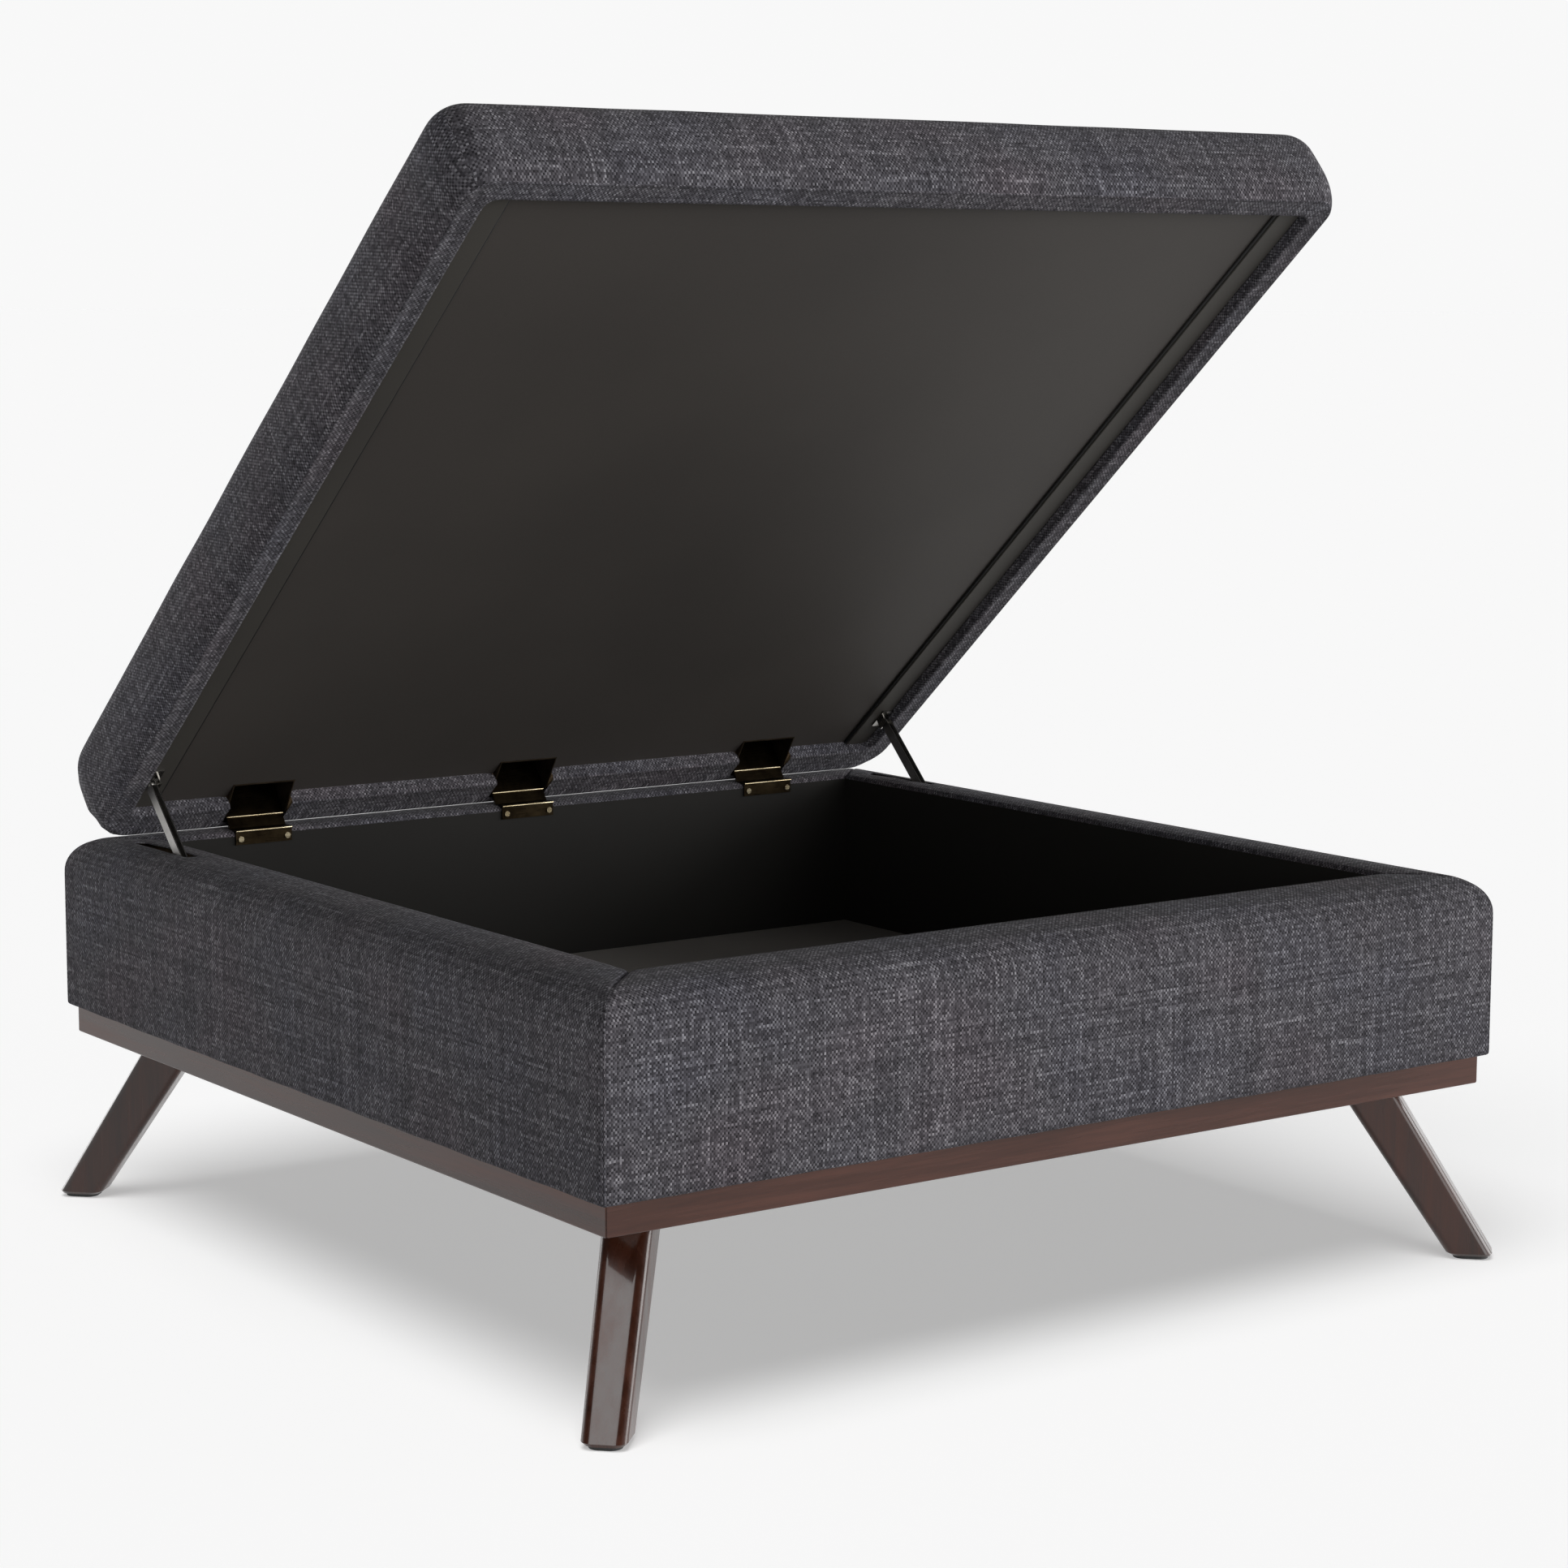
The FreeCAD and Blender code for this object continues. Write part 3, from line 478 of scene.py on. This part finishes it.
def wall_cover(side):
    """One padded wall: a sheet of cloth with a slit for the stay in the left and right rims."""
    towards_rear = {"right": 1, "left": -1}.get(side, 0)
    profile = wall_profile()
    runs = run_positions()
    arcs = lengths_along(profile)
    points = []
    weave = []
    for f in runs:
        for (depth, height), length in zip(profile, arcs):
            x = f * (HALF - depth)
            points.append(cloth_point(side, x, depth, height, towards_rear))
            weave.append((x, length))
    slit_rows = slit_steps(runs, towards_rear)
    slit_column = next(j for j, (depth, _) in enumerate(profile) if abs(depth - SLIT_DEPTHS[0]) < TINY)
    faces = grid_faces(len(runs), len(profile), keep=lambda i, j: not (j == slit_column and i in slit_rows))
    mesh = smooth_mesh("base_cover_" + side, points, faces, weave)
    mesh.transform(Matrix.Rotation(math.radians(SIDES[side]), 4, "Z"))
    piece = new_object("wall_cover_" + side, mesh)
    add_modifier(piece, "SOLIDIFY", thickness=CLOTH, offset=1.0 if normals_point_in(mesh) else -1.0)
    add_modifier(piece, "SUBSURF", levels=1, render_levels=1)
    paint(piece, TWEED)
    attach(piece, "base")
    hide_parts("base_cover_" + side, "wall_foam_" + side)


def normals_point_in(mesh):
    """True where the cloth's face normals point towards the middle of the ottoman."""
    total = 0.0
    for polygon in mesh.polygons:
        flat = Vector((polygon.center.x, polygon.center.y, 0))
        total += polygon.area * polygon.normal.dot(flat)
    return total < 0


# ------------------------------------------------------------------ lid cushion, built closed
POCKET_HALF = 32.2 * MM
POCKET_REAR = 10.6 * MM                  # the pocket starts this far in from the rear edge
CREASE_LIP = 0.8 * MM
CORNER_STEPS = 8
CORNER_LEAST = 12 * MM
CORNER_FADE = 60 * MM
LID_CROWN = 9 * MM
CROWN_POWER = 2.6
TOP_UNEVEN = 1.2 * MM
LID_SIDE_BULGE = 1.0 * MM
SIDE_UNEVEN = 0.8 * MM


def lid_profile():
    """(inset, height over the lid's underside) from inside the recess, round and up to the top."""
    bead = 3 * MM
    points = [(BORDER, RECESS), (BORDER, 0.6 * RECESS)]
    points += arc((BORDER - bead, bead), bead, 0, -90, 4)
    points += [(24 * MM, 0.4 * MM), (18 * MM, 0.6 * MM), (13 * MM, 0.3 * MM), (CREASE_IN + CREASE_LIP, 0)]
    rise = SWELL_Z / math.sin(SWELL_TURN)
    for turn in np.linspace(-SWELL_TURN, 0, 9):
        points.append((SWELL_REACH * (1 - math.cos(turn)), SWELL_Z + rise * math.sin(turn)))
    points += arc((LID_TOP_ROUND, LID_THICK - LID_TOP_ROUND), LID_TOP_ROUND, 180, 90, 9)
    return points


def cup_edges():
    """The two x edges of each hinge pocket in the lid's underside."""
    edges = []
    for name in HINGES:
        cup_low, cup_high = closed_box("hinge_cup_" + name)
        middle = (cup_low.x + cup_high.x) / 2
        edges += [middle - POCKET_HALF, middle + POCKET_HALF]
    return edges


def straight_positions():
    """Places along a straight side of the lid, with lines along the edges of the hinge pockets."""
    reach = HALF - LID_CORNER
    even = np.linspace(-reach, reach, 57)
    edges = cup_edges()
    nearest = 4 * MM
    kept = [x for x in even if min(abs(x - e) for e in edges) > nearest]
    return [float(x) for x in sorted(kept + edges)]


def ring(inset, positions):
    """The points of one rounded square round the lid. Only places beyond hold shift with the inset."""
    half = HALF - inset
    radius = max(LID_CORNER - inset, CORNER_LEAST)
    straight = half - radius
    hold = 0.35
    stretch = (straight - hold) / (HALF - LID_CORNER - hold)
    places = [x if abs(x) < hold else math.copysign(hold + (abs(x) - hold) * stretch, x) for x in positions]
    points = []
    for turn in range(4):
        rotation = Matrix.Rotation(math.radians(90 * turn), 3, "Z")
        run = [Vector((x, -half, 0)) for x in places]
        corner = Vector((straight, -straight, 0))
        for k in range(1, CORNER_STEPS):
            angle = math.radians(-90 + 90 * k / CORNER_STEPS)
            run.append(corner + Vector((radius * math.cos(angle), radius * math.sin(angle), 0)))
        points += [rotation @ p for p in run]
    return points


def pushed_out(point, height):
    """A point of the lid's side, moved out by the cushion's bulge and unevenness, least at the corners."""
    x, y = abs(point.x), abs(point.y)
    outward = Vector((point.x if x > y - HAIR else 0, point.y if y > x - HAIR else 0, 0)).normalized()
    away = 1 - math.exp(-math.hypot(HALF - x, HALF - y) / CORNER_FADE)
    bulge = LID_SIDE_BULGE * math.sin(math.pi * min(1, height / LID_THICK)) * away
    return point + outward * (bulge + SIDE_UNEVEN * wave(point, 0.1, 5) * away)


def pocket_steps(positions):
    """The steps of a ring that lie over the hinge pockets, on its rear side."""
    rear = 2 * (len(positions) + CORNER_STEPS - 1)
    edges = cup_edges()
    steps = set()
    for j, (start, end) in enumerate(zip(positions[:-1], positions[1:])):
        for low, high in zip(edges[::2], edges[1::2]):
            if -high - TINY <= start and end <= -low + TINY:
                steps.add(rear + j)
    return steps


def lid_cushion():
    """The whole lid closed and square: rings of points round its side, and a grid over its top."""
    positions = straight_positions()
    profile = lid_profile()
    points = []
    for inset, height in profile:
        for point in ring(inset, positions):
            if height > 0 and inset < LID_TOP_ROUND:
                point = pushed_out(point, height)
            points.append(Vector((point.x, point.y, LID_Z + height)))
    pockets = pocket_steps(positions)
    in_pocket = [inset >= POCKET_REAR and height < 1.01 * RECESS for inset, height in profile]
    last = max(i for i, inside in enumerate(in_pocket) if inside)
    per_ring = 4 * (len(positions) + CORNER_STEPS - 1)
    faces = grid_faces(len(profile), per_ring, loop=True,
                       keep=lambda i, j: not (j in pockets and i < last))
    first = len(points)
    edge = HALF - LID_TOP_ROUND
    places = [x * edge / positions[-1] for x in positions]
    points += [Vector((x, y, LID_Z + LID_THICK)) for y in places for x in places]
    faces += [tuple(first + k for k in face) for face in grid_faces(len(places), len(places))]
    mesh = smooth_mesh("lid_cover", points, faces)
    weld(mesh, 6 * MM, LID_Z + LID_THICK)
    return mesh


def weld(mesh, distance, height):
    """Joins the last ring to the top grid."""
    bm = bmesh.new()
    bm.from_mesh(mesh)
    near = [v for v in bm.verts if abs(v.co.z - height) < TINY and v.is_boundary]
    bmesh.ops.remove_doubles(bm, verts=near, dist=distance)
    bmesh.ops.recalc_face_normals(bm, faces=bm.faces)
    bm.to_mesh(mesh)
    bm.free()


def crown(mesh):
    """Raises the top into a soft crown with a little unevenness."""
    lowest = 0.6                         # of the lid's thickness: nothing below this moves
    for v in mesh.vertices:
        if (v.co.z - LID_Z) / LID_THICK < lowest:
            continue
        fx = min(1, abs(v.co.x) / HALF)
        fy = min(1, abs(v.co.y) / HALF)
        dome = (1 - fx ** CROWN_POWER) * (1 - fy ** CROWN_POWER)
        v.co.z += LID_CROWN * dome + TOP_UNEVEN * dome * wave(v.co, 0.16, 2)


def lay_weave(mesh):
    """Gives the lid's cloth its thread lines: one sheet over the top, carried down each side."""
    layer = mesh.uv_layers.new(name="weave")
    level = 0.75                         # faces that point up or down more than this belong to the flats
    for polygon in mesh.polygons:
        normal = polygon.normal
        for loop in polygon.loop_indices:
            p = mesh.vertices[mesh.loops[loop].vertex_index].co
            drop = LID_Z + LID_THICK - p.z
            if abs(normal.z) > level:
                layer.data[loop].uv = (p.x, p.y) if normal.z > 0 else (p.x + 0.3, p.y + 0.2)
            elif abs(normal.x) > abs(normal.y):
                layer.data[loop].uv = (math.copysign(HALF + drop, p.x), p.y)
            else:
                layer.data[loop].uv = (p.x, math.copysign(HALF + drop, p.y))


def fit_plan(mesh):
    """Draws the square cushion in to the lid's own outline and recess."""
    inner = HALF - BORDER
    hem = 1.5 * MM                       # the panel reaches this far under the cloth
    still = 0.33                         # nothing moves nearer the middle than this
    far = 20 * MM
    outside = 1                          # a place well past the rear edge
    pocket = HALF - CREASE_IN - CREASE_LIP
    rear_crease = HALF - 2 * MM          # the crease is nearer the edge at the rear
    square = [0, still, inner, HALF, HALF + far]
    wide = [0, still, panel_high.x - hem, lid_high.x, lid_high.x + far]
    front = [0, still, -panel_low.y - hem, -lid_low.y, far - lid_low.y]
    rear_square = [0, still, inner, pocket, HALF - CREASE_IN, HALF, outside]
    rear = [0, still, panel_high.y - hem, pocket, rear_crease, HALF, outside]
    for v in mesh.vertices:
        v.co.x = math.copysign(np.interp(abs(v.co.x), square, wide), v.co.x)
        if v.co.y < 0:
            v.co.y = -np.interp(-v.co.y, square, front)
        else:
            v.co.y = np.interp(v.co.y, rear_square, rear)


def paint_recess_shade(mesh):
    """The sides of the recess get the second material, a near-black cloth that paints the shade falling in
    the recess.
    """
    hem = 3.5 * MM                       # the fabric turns in this far before the painted shade starts
    for polygon in mesh.polygons:
        centre = polygon.center
        inset = HALF - max(abs(centre.x), abs(centre.y))
        if inset > 0.8 * BORDER and hem < centre.z - LID_Z < 1.2 * RECESS:
            polygon.material_index = 1


def lid_cover():
    """The padded lid, built closed and swung open."""
    mesh = lid_cushion()
    crown(mesh)
    lay_weave(mesh)
    paint_recess_shade(mesh)
    fit_plan(mesh)
    mesh.transform(TO_OPEN)
    piece = new_object("lid_cover_cloth", mesh)
    add_modifier(piece, "SUBSURF", levels=1, render_levels=1)
    paint(piece, TWEED)
    # the second material paints the shade on the sides of the recess
    piece.data.materials.append(SHADOW_TAPE)
    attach(piece, "lid")
    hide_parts("lid_cover", "lid_foam")


# ------------------------------------------------------------------ plinth
BOX_FACES = [(3, 2, 1, 0), (4, 5, 6, 7), (0, 1, 5, 4), (1, 2, 6, 5), (2, 3, 7, 6), (3, 0, 4, 7)]
RAIL_EASE = 1.3 * MM
STRIP_EASE = 0.9 * MM


def plinth_rail(side):
    """A mitred rail with eased edges."""
    low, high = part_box("plinth_rail_front")
    outer = high.x
    inner = outer - (high.y - low.y)
    corners = []
    for z in (low.z, high.z):
        corners += [(-outer, -outer, z), (outer, -outer, z), (inner, -inner, z), (-inner, -inner, z)]
    mesh = smooth_mesh("plinth_rail", corners, BOX_FACES)
    mesh.transform(Matrix.Rotation(math.radians(SIDES[side]), 4, "Z"))
    piece = new_object("plinth_" + side, mesh)
    add_modifier(piece, "BEVEL", width=RAIL_EASE, segments=3, limit_method="ANGLE", harden_normals=True)
    paint(piece, WOOD_X if side in ("front", "rear") else WOOD_Y)
    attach(piece, "base")
    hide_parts("plinth_rail_" + side)


# ------------------------------------------------------------------ trim of the lid and the hinges
def edge_strips():
    """Two folded edges of the dust cloth, left and right, standing a little off the panel."""
    low, high = closed_box("lid_strips")
    width = STRIP_WIDTH - STRIP_GAP
    points = []
    faces = []
    for start in (low.x + STRIP_GAP, high.x - STRIP_GAP - width):
        end = start + width
        faces += [tuple(len(points) + k for k in quad) for quad in BOX_FACES]
        for z in (low.z, high.z):
            points += [(start, low.y, z), (end, low.y, z), (end, high.y, z), (start, high.y, z)]
    mesh = smooth_mesh("edge_strips", points, faces)
    mesh.transform(TO_OPEN)
    piece = new_object("edge_strips", mesh)
    add_modifier(piece, "BEVEL", width=STRIP_EASE, segments=3, limit_method="ANGLE", harden_normals=True)
    paint(piece, STRIP_CLOTH)
    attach(piece, "lid")
    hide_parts("lid_strips")


def tube(start, end, radius, sides=10):
    """Points and faces of a capped rod between two places."""
    turn = (end - start).to_track_quat("Z", "Y").to_matrix()
    circle = arc((0, 0), radius, 0, 360 - 360 / sides, sides - 1)
    points = [spot + turn @ Vector((x, y, 0)) for spot in (start, end) for x, y in circle]
    faces = [(k, (k + 1) % sides, sides + (k + 1) % sides, sides + k) for k in range(sides)]
    faces += [tuple(range(sides - 1, -1, -1)), tuple(range(sides, 2 * sides))]
    return points, faces


def rods(name, spans, radius, material, body):
    """Several thin rods as one piece, each with its end edges rounded off."""
    points = []
    faces = []
    for start, end in spans:
        rod, quads = tube(start, end, radius)
        faces += [tuple(len(points) + k for k in quad) for quad in quads]
        points += rod
    piece = new_object(name, smooth_mesh(name, points, faces))
    add_modifier(piece, "BEVEL", width=radius / 4, segments=2, limit_method="ANGLE",
                 angle_limit=math.radians(60))
    paint(piece, material)
    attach(piece, body)


def strip_shadow_line():
    """A thin black rod along the inner edge of each strip, which paints the dark shadow line there."""
    low, high = closed_box("lid_strips")
    height = high.z - SHADOW_LINE_R
    spans = []
    for x in (low.x + STRIP_WIDTH + SHADOW_LINE_R, high.x - STRIP_WIDTH - SHADOW_LINE_R):
        ends = (Vector((x, low.y + MM, height)), Vector((x, high.y - MM, height)))
        spans.append([TO_OPEN @ end for end in ends])
    rods("strip_shadow_line", spans, SHADOW_LINE_R, SHADOW_TAPE, "lid")


def hinge_highlight_beads():
    """Two bright bronze rods across each hinge, on the leaf's bend and on the arm, which paint the edge
    highlights there.
    """
    spans = []
    for name in HINGES:
        low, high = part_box("hinge_arm_" + name)
        spans += [(Vector((low.x, y, z)), Vector((high.x, y, z))) for y, z in (LEAF_BEAD, ARM_BEAD)]
    rods("hinge_highlight_beads", spans, BEAD_R, BRIGHT_BRONZE, "base")


def stay_lips(side):
    """The two bright rolled lips along a stay's channel."""
    joint = next(j for j in frame["joints"] if j["name"] == f"stay_{side}_pivot")
    down = Vector((0, -math.cos(STAY_SLOPE), -math.sin(STAY_SLOPE)))
    out = Vector((0, -math.sin(STAY_SLOPE), math.cos(STAY_SLOPE)))
    low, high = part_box("stay_bar_" + side)
    middle = Vector(joint["pos_m"]) + out * STAY_FRONT
    starts = [Vector((x, middle.y, middle.z)) for x in (low.x + LIP_R, high.x - LIP_R)]
    spans = [(start, start + down * STAY_LENGTH) for start in starts]
    rods("stay_lips_" + side, spans, LIP_R, ZINC, "stay_" + side)


# ------------------------------------------------------------------ finishes of the CAD pieces
FINISHES = (                             # the first one that a node's name starts with
    ("leg_front", WOOD_Z), ("leg_rear", WOOD_Z), ("leg_plate", ZINC), ("leg_bolt", ZINC),
    ("wall_liner", WALL_LINING), ("floor_liner", LIT_FLOOR_LINING),
    ("lid_panel", DUST_CLOTH), ("underside_cloth", DUST_CLOTH), ("foot_glides", GLIDE),
    ("hinge_leaf_screws", BRIGHT_BRONZE), ("hinge_cup", CUP_BRONZE), ("hinge_", BRONZE),
    ("stay_bar", STAY_STEEL), ("stay_", ZINC),
)


def finish_for(name):
    """A node's material. What has none of its own is wood inside the covers."""
    return next((material for start, material in FINISHES if name.startswith(start)), PLYWOOD)


# ------------------------------------------------------------------ stage, lights and camera
WHITE = (1.0, 1.0, 1.0, 1.0)
FLOOR_GREY = (0.70, 0.70, 0.70, 1.0)
FAR = 400                                # metres: half the width of the studio floor
# from this height to that one, light goes from the third value to the fourth
WALL_FADE = (0.12, 0.34, 0.94, 0.06)     # bright studio walls, darker ceiling
GROUND_FADE = (-0.40, -0.02, 0.18, 1.0)  # less light comes up from the ground


def studio_floor():
    """A plain pale floor that runs on past the horizon."""
    corners = [(-FAR, -FAR, 0), (FAR, -FAR, 0), (FAR, FAR, 0), (-FAR, FAR, 0)]
    floor = new_object("studio_floor", smooth_mesh("floor", corners, [(0, 1, 2, 3)]))
    g = Graph("floor")
    paint(floor, g.set(Base_Color=FLOOR_GREY, Roughness=1.0, Specular_IOR_Level=0.0,
                       Emission_Color=WHITE, Emission_Strength=0.40))
    floor.visible_diffuse = False
    return floor


def studio_walls():
    """The light from all around, which fades with height as the two fades say."""
    world = bpy.data.worlds.new("studio")
    world.use_nodes = True
    nodes = world.node_tree.nodes
    links = world.node_tree.links
    height = nodes.new("ShaderNodeSeparateXYZ")
    links.new(nodes.new("ShaderNodeTexCoord").outputs["Generated"], height.inputs[0])
    both = nodes.new("ShaderNodeMath")
    both.operation = "MULTIPLY"
    for place, settings in enumerate((WALL_FADE, GROUND_FADE)):
        fade = nodes.new("ShaderNodeMapRange")
        links.new(height.outputs["Z"], fade.inputs["Value"])
        for name, value in zip(("From Min", "From Max", "To Min", "To Max"), settings):
            fade.inputs[name].default_value = value
        links.new(fade.outputs[0], both.inputs[place])
    background = nodes["Background"]
    background.inputs["Color"].default_value = WHITE
    links.new(both.outputs[0], background.inputs["Strength"])
    bpy.context.scene.world = world


def receivers(name, *pieces):
    """A collection of the pieces that a light falls on."""
    collection = bpy.data.collections.new(name)
    for piece in pieces:
        collection.objects.link(piece)
    return collection


def stage():
    """The floor, the studio walls and the lights. Some lights fall on one piece only."""
    floor = studio_floor()
    studio_walls()
    bpy.context.scene.view_settings.view_transform = "Standard"
    floor_only = receivers("floor_only", floor)
    near_leg = receivers("near_leg", frame["nodes"]["leg_front_left"])
    all_but_floor = receivers("all_but_floor", floor)
    all_but_floor.collection_objects[0].light_linking.link_state = "EXCLUDE"
    soft_sun("front_light", (0.33, -0.92, 0.06), 1.15, 40, all_but_floor)
    soft_sun("right_light", (0.80, -0.36, 0.12), 1.75, 40, all_but_floor)
    soft_sun("leg_light", (-0.62, -0.33, 0.71), 0.8, 30, near_leg)
    soft_sun("back_light", (-0.10, 1.0, 0.10), 1.0, 40, all_but_floor)
    soft_sun("floor_light", (-0.30, -0.20, 1.0), 2.2, 45, floor_only)


def soft_sun(name, towards, strength, spread, lights_up):
    """A broad soft light. towards points from the ottoman to the light, and spread is in degrees."""
    data = bpy.data.lights.new(name, "SUN")
    data.energy = strength
    data.angle = math.radians(spread)
    lamp = bpy.data.objects.new(name, data)
    lamp.rotation_euler = Vector(towards).to_track_quat("Z", "Y").to_euler()
    lamp.light_linking.receiver_collection = lights_up
    bpy.context.scene.collection.objects.link(lamp)


CAMERA_PLACE = (-1.8072, -2.5586, 0.8294)
CAMERA_HEADING = -35.69                  # degrees, as the tilt and the roll
CAMERA_TILT = -7.80
CAMERA_ROLL = 0.14
LENS = 81.8                              # millimetres, on a sensor 36 mm wide


def camera():
    """The camera stands at the front left, a little lower than the top of the open lid."""
    data = bpy.data.cameras.new("camera")
    data.lens = LENS
    data.sensor_width = 36
    data.clip_start = 0.05
    data.clip_end = 200
    seen = bpy.data.objects.new("camera", data)
    turn = Matrix.Rotation(math.radians(CAMERA_HEADING), 4, "Z")
    tilt = Matrix.Rotation(math.radians(90 + CAMERA_TILT), 4, "X")
    roll = Matrix.Rotation(math.radians(CAMERA_ROLL), 4, "Z")
    seen.matrix_world = Matrix.Translation(CAMERA_PLACE) @ turn @ tilt @ roll
    bpy.context.scene.collection.objects.link(seen)
    bpy.context.scene.camera = seen


# ------------------------------------------------------------------ build
stage()
camera()
for side_name in SIDES:
    wall_cover(side_name)
    plinth_rail(side_name)
lid_cover()
edge_strips()
strip_shadow_line()
hinge_highlight_beads()
for side_name in ("left", "right"):
    stay_lips(side_name)
for node_name, node in frame["nodes"].items():
    paint(node, finish_for(node_name))
